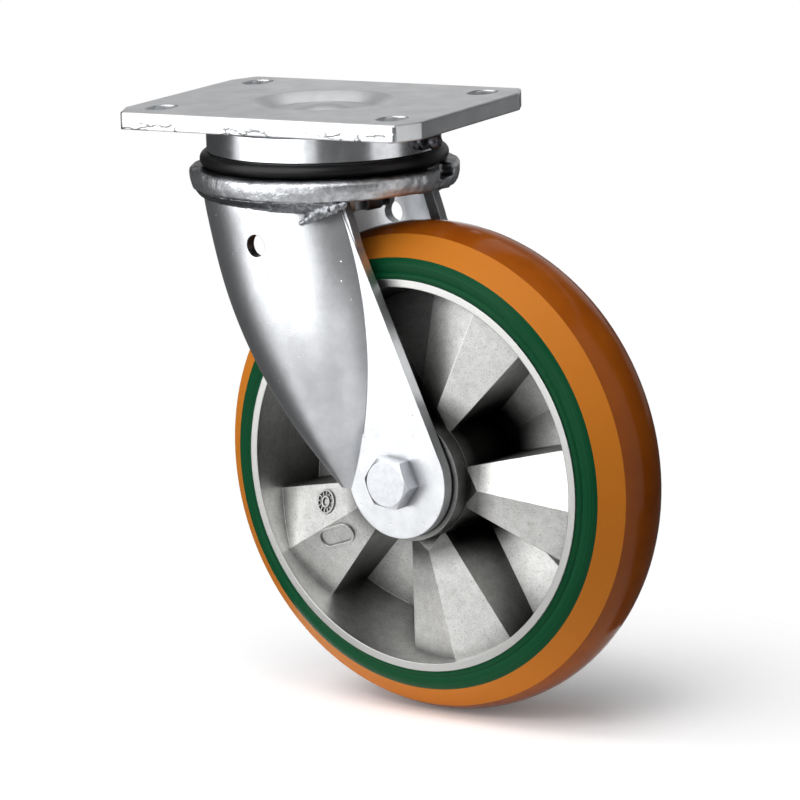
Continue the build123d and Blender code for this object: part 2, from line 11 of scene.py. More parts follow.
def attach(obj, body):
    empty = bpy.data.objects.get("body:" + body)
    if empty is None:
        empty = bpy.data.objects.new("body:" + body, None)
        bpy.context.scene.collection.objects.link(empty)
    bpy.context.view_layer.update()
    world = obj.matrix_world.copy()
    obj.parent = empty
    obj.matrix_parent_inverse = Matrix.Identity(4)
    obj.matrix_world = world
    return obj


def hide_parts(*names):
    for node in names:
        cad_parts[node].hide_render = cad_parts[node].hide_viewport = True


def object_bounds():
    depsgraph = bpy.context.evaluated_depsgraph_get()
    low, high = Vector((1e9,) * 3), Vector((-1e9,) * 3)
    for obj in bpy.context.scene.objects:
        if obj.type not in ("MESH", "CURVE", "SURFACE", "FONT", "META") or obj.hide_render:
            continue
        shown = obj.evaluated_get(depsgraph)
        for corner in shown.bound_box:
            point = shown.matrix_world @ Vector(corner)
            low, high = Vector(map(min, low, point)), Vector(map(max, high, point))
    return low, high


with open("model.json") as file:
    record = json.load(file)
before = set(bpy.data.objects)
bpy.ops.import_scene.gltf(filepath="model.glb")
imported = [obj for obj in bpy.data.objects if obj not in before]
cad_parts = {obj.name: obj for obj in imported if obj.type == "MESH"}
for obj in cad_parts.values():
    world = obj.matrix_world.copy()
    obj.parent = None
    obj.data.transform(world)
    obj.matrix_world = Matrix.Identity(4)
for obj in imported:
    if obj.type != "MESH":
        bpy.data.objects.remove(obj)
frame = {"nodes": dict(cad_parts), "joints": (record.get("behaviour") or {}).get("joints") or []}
cad_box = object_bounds()
nodes = frame["nodes"]

MM = 0.001

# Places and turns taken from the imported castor
joints = {joint["name"]: joint for joint in frame["joints"]}
axle_centre = Vector(joints["wheel_spin"]["pos_m"])
axle_direction = Vector(joints["wheel_spin"]["axis"]).normalized()
fork_turn = -atan2(axle_direction.x, axle_direction.y)
fork_place = Matrix.Rotation(fork_turn, 4, "Z")
wheel_place = Matrix.Translation(axle_centre) @ fork_place
floor_level = cad_box[0][2]
castor_middle = Vector((axle_centre.x / 2, axle_centre.y / 2, floor_level / 2))

# The photograph's viewpoint, fitted to the plate's corners and the wheel's circles
PHOTO_SIZE = 800
VIEW_AZIMUTH = radians(27.9)
VIEW_ELEVATION = radians(12.6)
VIEW_ROLL = radians(-1.5)
VIEW_DISTANCE = 1.8
VIEW_FOCAL_PX = 4466.5
AXLE_PX_RIGHT = 43.0
AXLE_PX_DOWN = 65.4
SENSOR_WIDTH = 36.0
VIEW_END = 20.0

# Where the finishes or the painted shade change on a surface, each as the two mm between which one
# gives way to the other
PLATE_LONG_EDGE = (54.2, 54.8)
PLATE_TORN_LEVEL = (-3.1, -2.4)
PLATE_TORN_WANDER = 2.4
RIM_LIP_RADIUS = (76.3, 76.6)
# Painted shade: the casting is darkened round the hub and on the blades' deep faces
HUB_SHADE_RADIUS = (31, 40)
HUB_SHADE_DEPTH = (12, 26)
BLADE_SHADE_DEPTH = (6, 15)
TREAD_SIDE_WIDTH = (12.6, 12.9)

# Painted shade in inner corners: a colour is darkest at the first share of open air and whole at the
# second
CORNER_CLOSED = 0.25
CORNER_OPEN = 0.75

# Sockets of the Mix node for two colours
MIX_SHARE = 0
MIX_FIRST = 6
MIX_SECOND = 7
MIX_RESULT = 2

# A doubled corner of a copied mesh is merged within this, in mm
MERGE_WITHIN = 0.002

# Soft noise of a hammered skin: how fast its layers fade, how much finer each is, and how many
WAVE_FADE = 0.8
WAVE_STEP = 2.0
WAVE_LAYERS = 3

# Forged crown, in mm: its waves as (size, depth); they start outside the calm radius and are
# strongest round the notch, whose place is in the fork's own turn
CROWN_GRAIN = 0.8
CROWN_WAVES = ((11.0, 0.40), (3.0, 0.07))
CROWN_CALM_RADIUS = 46.0
CROWN_WAVE_START = 4.0
CROWN_NOTCH = (53.0, 8.0, 0)
CROWN_TORN_REACH = 16.0
CROWN_TORN_GAIN = 1.5

# Weld beads: ripples all along and lumps at the piled-up end as (size, depth), in mm
WELD_GRAIN = 0.5
WELD_RIPPLES = (6.0, 0.25)
WELD_LUMPS = (3.5, 0.6)
WELD_LUMP_REACH = 12.0

# The piled-up end of the long weld: place in the fork's own turn and radius of each drop, in mm
WELD_END = (
    (36.5, -36.8, -34.6, 2.2),
    (34.0, -38.6, -35.8, 2.4),
    (31.0, -40.0, -37.0, 2.5),
    (28.2, -40.8, -38.0, 2.6),
    (25.3, -41.6, -39.4, 2.2),
    (22.6, -42.2, -40.8, 1.7),
    (20.4, -43.2, -42.2, 1.2),
)
WELD_END_MIDDLE = WELD_END[3]

# Mould marks on the blade at the wheel's lower left: mm from the wheel's centre in the fork's own turn
MARK_ROOT = 0.3
MARK_STEPS = 32
DIAL_CENTRE = (-46.6, -16.8, -16.9)
DIAL_OUTWARD = (-0.19, -0.959, 0.212)
DIAL_RADII = (5.0, 2.4)
DIAL_WALL = 0.7
DIAL_RISE = 0.9
DIAL_TICKS = 12
TICK_RADIUS = 3.7
TICK_SIZE = (1.4, 0.5, 1.5)
OVAL_CENTRE = (-41.1, -17.9, -30.0)
OVAL_OUTWARD = (0.092, -0.959, -0.269)
OVAL_TURN = 20.0
OVAL_STRAIGHT = 9.0
OVAL_RADIUS = 4.4
OVAL_WALL = 0.9
OVAL_RISE = 1.0

# The slotted nut's lowest corners, within the band, reach further down than its plain ring, in mm
LOBE_BAND = 2.0
LOBE_DROP = 4.0

# Grease nipple: its seat on the bearing ring, its hexagon with the part that is sunk into the seat,
# and the outline of its head as (radius, height), in mm
NIPPLE_TURN = -7.5
NIPPLE_SEAT = (47.5, 0, -13.4)
NIPPLE_HEX_RADIUS = 4.2
NIPPLE_HEX_HEIGHT = 3.2
NIPPLE_SUNK = 1.0
NIPPLE_CHAMFER = 0.5
NIPPLE_STEPS = 40
NIPPLE_HEAD = (
    (1.9, 2.8),
    (1.9, 4.4),
    (2.9, 5.6),
    (3.3, 6.6),
    (3.3, 7.6),
    (2.8, 8.8),
    (2.1, 9.6),
    (1.4, 9.9),
    (1.1, 9.7),
    (0.9, 8.9),
)


def linear(hex_colour):
    """A display colour such as #D98A50 as linear red, green, blue and alpha."""
    channels = [int(hex_colour[i : i + 2], 16) / 255 for i in (1, 3, 5)]
    return [c / 12.92 if c <= 0.04045 else ((c + 0.055) / 1.055) ** 2.4 for c in channels] + [1.0]


def add(tree, kind, inputs, out=0, **settings):
    """Adds a node with its settings, gives each input its value or link, and returns an output."""
    node = tree.nodes.new(kind)
    for name, value in settings.items():
        setattr(node, name, value)
    for socket, source in inputs.items():
        if isinstance(source, bpy.types.NodeSocket):
            tree.links.new(source, node.inputs[socket])
        else:
            node.inputs[socket].default_value = source
    return node.outputs[out] if node.outputs else None


def per_mm(size):
    """The scale of a pattern whose grains or lines are this many mm across."""
    return 1 / (size * MM)


def in_mm(limits):
    """Two limits given in mm."""
    return [limit * MM for limit in limits]


def span(value, between=(0, 1), to=(0, 1)):
    """The inputs that turn a value between two limits into one between two others."""
    low, high = between
    first, last = to
    return {"Value": value, "From Min": low, "From Max": high, "To Min": first, "To Max": last}


def two_tone(tree, pattern, low, first, high, second):
    """One colour where a pattern is low, another where it is high, and a blend between them."""
    share = add(tree, "ShaderNodeMapRange", span(pattern, (low, high)))
    colours = {MIX_SHARE: share, MIX_FIRST: linear(first), MIX_SECOND: linear(second)}
    return add(tree, "ShaderNodeMix", colours, MIX_RESULT, data_type="RGBA")


def corner_shade(tree, colour, reach_mm, darkest):
    """Paints shade into a colour: darkens it in inner corners, where little open air is seen."""
    open_air = add(tree, "ShaderNodeAmbientOcclusion", {"Distance": reach_mm * MM}, "AO", samples=8)
    light = span(open_air, (CORNER_CLOSED, CORNER_OPEN), (darkest, 1))
    share = add(tree, "ShaderNodeMapRange", light)
    return add(tree, "ShaderNodeVectorMath", {0: colour, "Scale": share}, operation="SCALE")


def wheel_coordinates(tree):
    """Object coordinates moved so that the wheel's centre is the origin and Y its axle."""
    where = add(tree, "ShaderNodeTexCoord", {}, "Object")
    turn = Euler((0, 0, -fork_turn))
    shift = -(turn.to_matrix() @ axle_centre)
    return add(tree, "ShaderNodeMapping", {"Vector": where, "Location": shift, "Rotation": turn})


def from_axle(tree, where):
    """Distance from the wheel's axle."""
    flat = add(tree, "ShaderNodeVectorMath", {0: where, 1: (1, 0, 1)}, operation="MULTIPLY")
    return add(tree, "ShaderNodeVectorMath", {0: flat}, "Value", operation="LENGTH")


def from_middle(tree, where):
    """Distance from the upright plane through Y = 0, the same on both sides."""
    across = add(tree, "ShaderNodeSeparateXYZ", {"Vector": where}, "Y")
    return add(tree, "ShaderNodeMath", {0: across}, operation="ABSOLUTE")


def lathe_lines(tree, radius, pitch_mm, detail):
    """Uneven rings round the axle, as a turning tool leaves them."""
    place = add(tree, "ShaderNodeMath", {0: radius, 1: per_mm(pitch_mm)}, operation="MULTIPLY")
    rings = {"W": place, "Scale": 1, "Detail": detail}
    return add(tree, "ShaderNodeTexNoise", rings, noise_dimensions="1D")


# Blasted steel under bright zinc: nearly white and satin, with small pits and faint clouds.
# The blasted grain is finer on the real steel and is drawn coarser, so that it shows.
def zinc_plated_steel(tree):
    where = add(tree, "ShaderNodeTexCoord", {}, "Object")
    cloud_size = {"Vector": where, "Scale": per_mm(11), "Detail": 6, "Roughness": 0.62}
    clouds = add(tree, "ShaderNodeTexNoise", cloud_size)
    grain_size = {"Vector": where, "Scale": per_mm(0.6), "Detail": 3, "Roughness": 0.6}
    grain = add(tree, "ShaderNodeTexNoise", grain_size)
    pits = add(tree, "ShaderNodeTexVoronoi", {"Vector": where, "Scale": per_mm(5)}, "Distance")
    pits = add(tree, "ShaderNodeMapRange", span(pits, (0, 0.08)))
    edges = add(tree, "ShaderNodeBevel", {"Radius": 0.5 * MM}, samples=6)
    grained = {"Height": grain, "Normal": edges, "Strength": 0.7, "Distance": 0.10 * MM}
    grained = add(tree, "ShaderNodeBump", grained)
    pitted = {"Height": pits, "Normal": grained, "Strength": 0.9, "Distance": 0.26 * MM}
    zinc = two_tone(tree, clouds, 0.32, "#CACCCF", 0.62, "#DCDEE1")
    gloss = span(clouds, (0.32, 0.62), (0.345, 0.305))
    surface = {
        # Painted shade darkens the colour in inner corners and between the legs
        "Base Color": corner_shade(tree, zinc, 24, 0.18),
        "Metallic": 1,
        "Roughness": add(tree, "ShaderNodeMapRange", gloss),
        "Normal": add(tree, "ShaderNodeBump", pitted),
    }
    return add(tree, "ShaderNodeBsdfPrincipled", surface)


# Rolled plate under zinc: smooth on top, the sheared edge of its long sides torn in the lower half,
# with painted shade in the tears' cracks and in inner corners
def sheared_plate_steel(tree):
    where = add(tree, "ShaderNodeTexCoord", {}, "Object")
    cloud_size = {"Vector": where, "Scale": per_mm(16), "Detail": 6, "Roughness": 0.6}
    clouds = add(tree, "ShaderNodeTexNoise", cloud_size)
    grain_size = {"Vector": where, "Scale": per_mm(0.5), "Detail": 3, "Roughness": 0.6}
    grain = add(tree, "ShaderNodeTexNoise", grain_size)

    level = add(tree, "ShaderNodeSeparateXYZ", {"Vector": where}, "Z")
    wander = add(tree, "ShaderNodeTexNoise", {"Vector": where, "Scale": per_mm(6)})
    wandering = {0: wander, 1: PLATE_TORN_WANDER * MM, 2: level}
    wandering = add(tree, "ShaderNodeMath", wandering, operation="MULTIPLY_ADD")
    lower_half = add(tree, "ShaderNodeMapRange", span(wandering, in_mm(PLATE_TORN_LEVEL), (1, 0)))
    long_edge = span(from_middle(tree, where), in_mm(PLATE_LONG_EDGE))
    long_edge = add(tree, "ShaderNodeMapRange", long_edge)
    torn_band = add(tree, "ShaderNodeMath", {0: lower_half, 1: long_edge}, operation="MULTIPLY")

    drawn_out = add(tree, "ShaderNodeMapping", {"Vector": where, "Scale": (0.30, 0.30, 0.8)})
    tear_size = {"Vector": drawn_out, "Scale": per_mm(2.6), "Roughness": 0.45}
    tears = add(tree, "ShaderNodeTexNoise", tear_size)
    tears = add(tree, "ShaderNodeMapRange", span(tears, (0.44, 0.56)))
    islands = add(tree, "ShaderNodeMath", {0: tears, 1: torn_band}, operation="MULTIPLY")
    outside = add(tree, "ShaderNodeMapRange", span(tears, (0.2, 0.5)))
    inside = add(tree, "ShaderNodeMapRange", span(tears, (0.5, 0.8), (1, 0)))
    cracks = add(tree, "ShaderNodeMath", {0: outside, 1: inside}, operation="MULTIPLY")
    cracks = add(tree, "ShaderNodeMath", {0: cracks, 1: torn_band}, operation="MULTIPLY")

    # Painted shade: the cracks round the raised torn islands are darkened
    zinc = two_tone(tree, clouds, 0.32, "#CDCFD1", 0.62, "#DCDEE0")
    crack_shaded = {MIX_SHARE: cracks, MIX_FIRST: zinc, MIX_SECOND: linear("#5C5C5C")}
    crack_shaded = add(tree, "ShaderNodeMix", crack_shaded, MIX_RESULT, data_type="RGBA")
    edges = add(tree, "ShaderNodeBevel", {"Radius": 1.1 * MM}, samples=6)
    grained = {"Height": grain, "Normal": edges, "Strength": 0.7, "Distance": 0.07 * MM}
    grained = add(tree, "ShaderNodeBump", grained)
    torn = {"Height": islands, "Normal": grained, "Strength": 0.9, "Distance": 0.20 * MM}
    gloss = span(clouds, (0.32, 0.62), (0.37, 0.30))
    surface = {
        # Painted shade darkens the colour in inner corners and inside the slots
        "Base Color": corner_shade(tree, crack_shaded, 8, 0.25),
        "Metallic": 1,
        "Roughness": add(tree, "ShaderNodeMapRange", gloss),
        "Normal": add(tree, "ShaderNodeBump", torn),
    }
    return add(tree, "ShaderNodeBsdfPrincipled", surface)


# Turned steel, zinc plated: fine lathe lines around the swivel axis
def turned_ring_steel(tree):
    where = add(tree, "ShaderNodeTexCoord", {}, "Object")
    along = (per_mm(42), per_mm(42), per_mm(0.37))
    along = add(tree, "ShaderNodeMapping", {"Vector": where, "Scale": along})
    lines = add(tree, "ShaderNodeTexNoise", {"Vector": along, "Scale": 1})
    stains = add(tree, "ShaderNodeTexNoise", {"Vector": where, "Scale": per_mm(5), "Detail": 5})
    grooved = {"Height": lines, "Strength": 0.4, "Distance": 0.012 * MM}
    surface = {
        "Base Color": two_tone(tree, stains, 0.35, "#D2D4D7", 0.7, "#E2E4E7"),
        "Metallic": 1,
        "Roughness": add(tree, "ShaderNodeMapRange", span(lines, to=(0.17, 0.26))),
        "Normal": add(tree, "ShaderNodeBump", grooved),
    }
    return add(tree, "ShaderNodeBsdfPrincipled", surface)


# Drop-forged steel under zinc: the hammered skin shows as broad dents and folds
def forged_steel(tree):
    where = add(tree, "ShaderNodeTexCoord", {}, "Object")
    dent_size = {"Vector": where, "Scale": per_mm(3.2), "Detail": 4, "Roughness": 0.6}
    dents = add(tree, "ShaderNodeTexNoise", dent_size)
    grain = add(tree, "ShaderNodeTexNoise", {"Vector": where, "Scale": per_mm(0.8), "Detail": 3})
    zinc = two_tone(tree, dents, 0.3, "#A2A4A7", 0.65, "#D0D2D5")
    dented = {"Height": dents, "Strength": 0.7, "Distance": 0.26 * MM}
    dented = add(tree, "ShaderNodeBump", dented)
    grained = {"Height": grain, "Normal": dented, "Strength": 0.8, "Distance": 0.16 * MM}
    surface = {
        # Painted shade darkens the colour in inner corners and on the underside over the wheel
        "Base Color": corner_shade(tree, zinc, 30, 0.15),
        "Metallic": 1,
        "Roughness": add(tree, "ShaderNodeMapRange", span(dents, (0.3, 0.7), (0.40, 0.30))),
        "Normal": add(tree, "ShaderNodeBump", grained),
    }
    return add(tree, "ShaderNodeBsdfPrincipled", surface)


# Weld metal under zinc: greyer, with the ripples of the run
def weld_metal(tree):
    where = add(tree, "ShaderNodeTexCoord", {}, "Object")
    ripples = {"Vector": where, "Scale": per_mm(1.3), "Detail": 3}
    ripples = add(tree, "ShaderNodeTexNoise", ripples)
    rippled = {"Height": ripples, "Strength": 0.6, "Distance": 0.12 * MM}
    surface = {
        "Base Color": two_tone(tree, ripples, 0.3, "#6E7074", 0.65, "#9C9EA2"),
        "Metallic": 1,
        "Roughness": 0.30,
        "Normal": add(tree, "ShaderNodeBump", rippled),
    }
    return add(tree, "ShaderNodeBsdfPrincipled", surface)


# Bright zinc on cold-formed fasteners: smoother than the plate, with faint tool marks
def zinc_plated_fastener(tree):
    where = add(tree, "ShaderNodeTexCoord", {}, "Object")
    marks = add(tree, "ShaderNodeTexNoise", {"Vector": where, "Scale": per_mm(2.2), "Detail": 4})
    grain = add(tree, "ShaderNodeTexNoise", {"Vector": where, "Scale": per_mm(0.5)})
    zinc = two_tone(tree, marks, 0.35, "#C8CACE", 0.65, "#D2D4D8")
    edges = add(tree, "ShaderNodeBevel", {"Radius": 0.35 * MM}, samples=6)
    grained = {"Height": grain, "Normal": edges, "Strength": 0.5, "Distance": 0.03 * MM}
    surface = {
        # Painted shade darkens the colour where the heads meet the bosses and in other inner corners
        "Base Color": corner_shade(tree, zinc, 14, 0.10),
        "Metallic": 1,
        "Roughness": add(tree, "ShaderNodeMapRange", span(marks, (0.3, 0.7), (0.35, 0.29))),
        "Normal": add(tree, "ShaderNodeBump", grained),
    }
    return add(tree, "ShaderNodeBsdfPrincipled", surface)


# Plain bright steel of the hidden turned and ground pieces
def ground_steel(tree):
    where = add(tree, "ShaderNodeTexCoord", {}, "Object")
    lines = add(tree, "ShaderNodeTexNoise", {"Vector": where, "Scale": per_mm(0.7)})
    surface = {
        "Base Color": two_tone(tree, lines, 0.3, "#A2A4A8", 0.7, "#B6B8BC"),
        "Metallic": 1,
        "Roughness": add(tree, "ShaderNodeMapRange", span(lines, to=(0.24, 0.34))),
    }
    return add(tree, "ShaderNodeBsdfPrincipled", surface)


# Dark zinc of the grease nipple: nearly black metal with light edges
def dark_zinc(tree):
    where = add(tree, "ShaderNodeTexCoord", {}, "Object")
    grain = add(tree, "ShaderNodeTexNoise", {"Vector": where, "Scale": per_mm(0.8), "Detail": 3})
    edges = add(tree, "ShaderNodeBevel", {"Radius": 0.3 * MM}, samples=6)
    grained = {"Height": grain, "Normal": edges, "Strength": 0.5, "Distance": 0.04 * MM}
    surface = {
        "Base Color": two_tone(tree, grain, 0.3, "#45454A", 0.7, "#66666C"),
        "Metallic": 1,
        "Roughness": add(tree, "ShaderNodeMapRange", span(grain, to=(0.30, 0.42))),
        "Normal": add(tree, "ShaderNodeBump", grained),
    }
    return add(tree, "ShaderNodeBsdfPrincipled", surface)


# Moulded black rubber: dense, slightly shiny, no grain to see
def black_rubber(tree):
    where = add(tree, "ShaderNodeTexCoord", {}, "Object")
    skin = add(tree, "ShaderNodeTexNoise", {"Vector": where, "Scale": per_mm(1.2)})
    grained = {"Height": skin, "Strength": 0.4, "Distance": 0.03 * MM}
    surface = {
        "Base Color": two_tone(tree, skin, 0.3, "#0A0A0B", 0.7, "#111112"),
        "Roughness": add(tree, "ShaderNodeMapRange", span(skin, to=(0.36, 0.46))),
        "Specular IOR Level": 0.30,
        "Normal": add(tree, "ShaderNodeBump", grained),
    }
    return add(tree, "ShaderNodeBsdfPrincipled", surface)


# Moulded polyamide of the bearing cages: matt and cream
def cage_polyamide(tree):
    where = add(tree, "ShaderNodeTexCoord", {}, "Object")
    skin = add(tree, "ShaderNodeTexNoise", {"Vector": where, "Scale": per_mm(1.5)})
    surface = {
        "Base Color": two_tone(tree, skin, 0.3, "#C9BF9C", 0.7, "#D8CFB0"),
        "Roughness": 0.45,
    }
    return add(tree, "ShaderNodeBsdfPrincipled", surface)


# Tumbled aluminium casting with a turned rim: grainy grey faces, painted shade deep inside and round
# the hub, fine lines on the lip. The grain is finer on the real casting and is drawn coarser.
def cast_aluminium(tree):
    where = wheel_coordinates(tree)
    radius = from_axle(tree, where)
    depth = from_middle(tree, where)
    cloud_size = {"Vector": where, "Scale": per_mm(4), "Detail": 5, "Roughness": 0.65}
    clouds = add(tree, "ShaderNodeTexNoise", cloud_size)
    grain_size = {"Vector": where, "Scale": per_mm(0.45), "Detail": 3, "Roughness": 0.7}
    grain = add(tree, "ShaderNodeTexNoise", grain_size)

    grey = two_tone(tree, clouds, 0.3, "#C6C6C4", 0.65, "#DADAD8")
    specks = two_tone(tree, grain, 0.36, "#8F8F8C", 0.44, "#FFFFFF")
    specked = {MIX_SHARE: 0.7, MIX_FIRST: grey, MIX_SECOND: specks}
    specked = add(
        tree, "ShaderNodeMix", specked, MIX_RESULT, data_type="RGBA", blend_type="MULTIPLY"
    )
    # Painted shade: the blades' deep faces are darkened
    sunk_shade = add(tree, "ShaderNodeMapRange", span(depth, in_mm(BLADE_SHADE_DEPTH), (0.72, 1)))
    cast = add(tree, "ShaderNodeVectorMath", {0: specked, "Scale": sunk_shade}, operation="SCALE")
    # Painted shade: round the hub the deep casting is darkened nearly to black
    inner = add(tree, "ShaderNodeMapRange", span(radius, in_mm(HUB_SHADE_RADIUS), (1, 0)))
    deep = add(tree, "ShaderNodeMapRange", span(depth, in_mm(HUB_SHADE_DEPTH), (1, 0.55)))
    hub_shade = add(tree, "ShaderNodeMath", {0: inner, 1: deep}, operation="MULTIPLY")
    hub_shaded = {MIX_SHARE: hub_shade, MIX_FIRST: cast, MIX_SECOND: linear("#1E1D1B")}
    hub_shaded = add(tree, "ShaderNodeMix", hub_shaded, MIX_RESULT, data_type="RGBA")
    # Painted shade darkens the colour in inner corners
    hub_shaded = corner_shade(tree, hub_shaded, 26, 0.06)

    lip = add(tree, "ShaderNodeMapRange", span(radius, in_mm(RIM_LIP_RADIUS)))
    lines = lathe_lines(tree, radius, 0.07, 2)
    turned = two_tone(tree, lines, 0.3, "#A6A6A4", 0.7, "#C6C6C4")
    colour = {MIX_SHARE: lip, MIX_FIRST: hub_shaded, MIX_SECOND: turned}
    edges = add(tree, "ShaderNodeBevel", {"Radius": 0.5 * MM}, samples=6)
    grained = {"Height": grain, "Normal": edges, "Strength": 0.7, "Distance": 0.07 * MM}
    grained = add(tree, "ShaderNodeBump", grained)
    grooves = add(tree, "ShaderNodeMapRange", span(lines, (0.35, 0.65)))
    grooved = {"Height": grooves, "Normal": grained, "Strength": 0.3, "Distance": 0.01 * MM}
    surface = {
        "Base Color": add(tree, "ShaderNodeMix", colour, MIX_RESULT, data_type="RGBA"),
        "Metallic": 1,
        "Roughness": add(tree, "ShaderNodeMapRange", span(lip, to=(0.37, 0.30))),
        "Normal": add(tree, "ShaderNodeBump", grooved),
    }
    return add(tree, "ShaderNodeBsdfPrincipled", surface)


# Cast polyurethane of the elastic layer: deep green, a wet shine drawn into rings by the turning tool,
# its lighter rings painted sheen
def elastic_polyurethane(tree):
    where = wheel_coordinates(tree)
    lines = lathe_lines(tree, from_axle(tree, where), 0.18, 3)
    grooved = {"Height": lines, "Strength": 0.7, "Distance": 0.12 * MM}
    surface = {
        # Painted sheen: the lighter rings in the colour stand in for the shine
        "Base Color": two_tone(tree, lines, 0.5, "#074224", 0.78, "#1E6242"),
        "Roughness": add(tree, "ShaderNodeMapRange", span(lines, (0.3, 0.7), (0.15, 0.27))),
        "Specular IOR Level": 0.07,
        "Normal": add(tree, "ShaderNodeBump", grooved),
    }
    return add(tree, "ShaderNodeBsdfPrincipled", surface)


# Hard polyurethane tread: sides turned with fine cutter lines, running face moulded and glossy,
# darkened by painted shade
def tread_polyurethane(tree):
    where = wheel_coordinates(tree)
    side = add(tree, "ShaderNodeMapRange", span(from_middle(tree, where), in_mm(TREAD_SIDE_WIDTH)))
    lines = lathe_lines(tree, from_axle(tree, where), 0.09, 3)
    drift = add(tree, "ShaderNodeTexNoise", {"Vector": where, "Scale": per_mm(22), "Detail": 3})
    side_colour = two_tone(tree, lines, 0.3, "#BA6612", 0.7, "#CC7F2A")
    # Painted shade: the running face has a darker copy of the side's colour
    shaded_face_colour = two_tone(tree, drift, 0.3, "#8E4409", 0.7, "#A0520F")
    colour = {MIX_SHARE: side, MIX_FIRST: shaded_face_colour, MIX_SECOND: side_colour}
    grooved = {"Height": lines, "Strength": 0.5, "Distance": 0.05 * MM}
    surface = {
        "Base Color": add(tree, "ShaderNodeMix", colour, MIX_RESULT, data_type="RGBA"),
        "Roughness": add(tree, "ShaderNodeMapRange", span(side, to=(0.13, 0.50))),
        "Specular IOR Level": 0.14,
        "Normal": add(tree, "ShaderNodeBump", grooved),
    }
    return add(tree, "ShaderNodeBsdfPrincipled", surface)


# Each finish, with the CAD nodes that have it; a new piece takes the finish of a node
FINISHES = (
    (zinc_plated_steel, ("leg_near", "leg_far", "kingpin", "kingpin_nut")),
    (sheared_plate_steel, ("top_plate",)),
    (turned_ring_steel, ("bearing_ring",)),
    (forged_steel, ("crown",)),
    (weld_metal, ("ring_weld", "leg_weld_near", "leg_weld_far")),
    (zinc_plated_fastener, ("axle_bolt", "axle_nut", "nut_washer")),
    (dark_zinc, ("grease_nipple",)),
    (ground_steel, (
        "lower_bearing_cone", "lower_bearing_cup", "lower_bearing_rollers", "upper_ball_cage",
        "axle_tube", "inner_spacer", "thrust_washer_near", "thrust_washer_far",
        "bearing_inner_ring_near", "bearing_inner_ring_far",
        "bearing_outer_ring_near", "bearing_outer_ring_far",
    )),
    (black_rubber, ("swivel_seal", "bearing_seal_near", "bearing_seal_far")),
    (cage_polyamide, ("bearing_cage_near", "bearing_cage_far")),
    (cast_aluminium, ("wheel_centre",)),
    (elastic_polyurethane, ("elastic_layer",)),
    (tread_polyurethane, ("tread",)),
)


def new_material(name, shader):
    """A material whose surface is the shader that a function adds to its empty node tree."""
    material = bpy.data.materials.new(name)
    material.use_nodes = True
    tree = material.node_tree
    tree.nodes.clear()
    add(tree, "ShaderNodeOutputMaterial", {"Surface": shader(tree)})
    return material


for finish, dressed in FINISHES:
    material = new_material(finish.__name__, finish)
    for node in dressed:
        nodes[node].data.materials.clear()
        nodes[node].data.materials.append(material)


def to_scene(name, data):
    """Puts a mesh, a lamp or a camera into the scene as an object."""
    thing = bpy.data.objects.new(name, data)
    bpy.context.scene.collection.objects.link(thing)
    return thing


def to_mesh(metal, name):
    """The finished mesh of a bmesh."""
    mesh = bpy.data.meshes.new(name)
    metal.to_mesh(mesh)
    metal.free()
    return mesh


def shown_piece(name, metal, body, like):
    """Shows a bmesh as a piece that moves with a body and a CAD node's finish."""
    mesh = to_mesh(metal, name)
    mesh.materials.append(nodes[like].data.materials[0])
    piece = to_scene(name, mesh)
    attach(piece, body)
    return piece


def add_copy(metal, node):
    """Adds a CAD node's mesh, its doubled corners merged."""
    before = len(metal.verts)
    metal.from_mesh(nodes[node].data)
    metal.verts.ensure_lookup_table()
    copied = metal.verts[before:]
    bmesh.ops.transform(metal, matrix=nodes[node].matrix_world, verts=copied)
    bmesh.ops.remove_doubles(metal, verts=copied, dist=MERGE_WITHIN * MM)


def add_drops(metal, place, drops):
    """Adds round drops of metal, each with its place and radius in mm."""
    for *where, radius in drops:
        centre = place @ Matrix.Translation(Vector(where) * MM)
        bmesh.ops.create_icosphere(metal, subdivisions=3, radius=radius * MM, matrix=centre)


def one_skin(metal, name, grain_mm):
    """Melts closed shells into one skin with rounded edges and an even mesh."""
    blank = to_scene(name, to_mesh(metal, name))
    melt = blank.modifiers.new("melt", "REMESH")
    melt.mode = "VOXEL"
    melt.voxel_size = grain_mm * MM
    bpy.context.view_layer.update()
    melted = blank.evaluated_get(bpy.context.evaluated_depsgraph_get())
    melted = bpy.data.meshes.new_from_object(melted)
    bpy.data.objects.remove(blank)
    skin = bmesh.new()
    skin.from_mesh(melted)
    bmesh.ops.smooth_vert(
        skin, verts=skin.verts, factor=0.5, use_axis_x=True, use_axis_y=True, use_axis_z=True
    )
    for face in skin.faces:
        face.smooth = True
    return skin


def everywhere(place):
    """All of a noise, wherever the place is."""
    return 1.0


def hammer(skin, size_mm, depth_mm, reach=everywhere):
    """Moves the skin in and out by soft noise; reach says how much of it a place gets."""
    skin.normal_update()
    moves = []
    for corner in skin.verts:
        wave = noise.fractal(corner.co / (size_mm * MM), WAVE_FADE, WAVE_STEP, WAVE_LAYERS)
        moves.append(corner.normal * wave * depth_mm * MM * reach(corner.co))
    for corner, move in zip(skin.verts, moves):
        corner.co += move


def crown_wall(place):
    """How much of the crown's waves a place gets: none inside, most round the notch."""
    past_calm = (place.xy.length - CROWN_CALM_RADIUS * MM) / (CROWN_WAVE_START * MM)
    notch = fork_place @ (Vector(CROWN_NOTCH) * MM)
    near_notch = max(0.0, 1.0 - (place.xy - notch.xy).length / (CROWN_TORN_REACH * MM))
    return min(1.0, max(0.0, past_calm)) * (1.0 + CROWN_TORN_GAIN * near_notch)


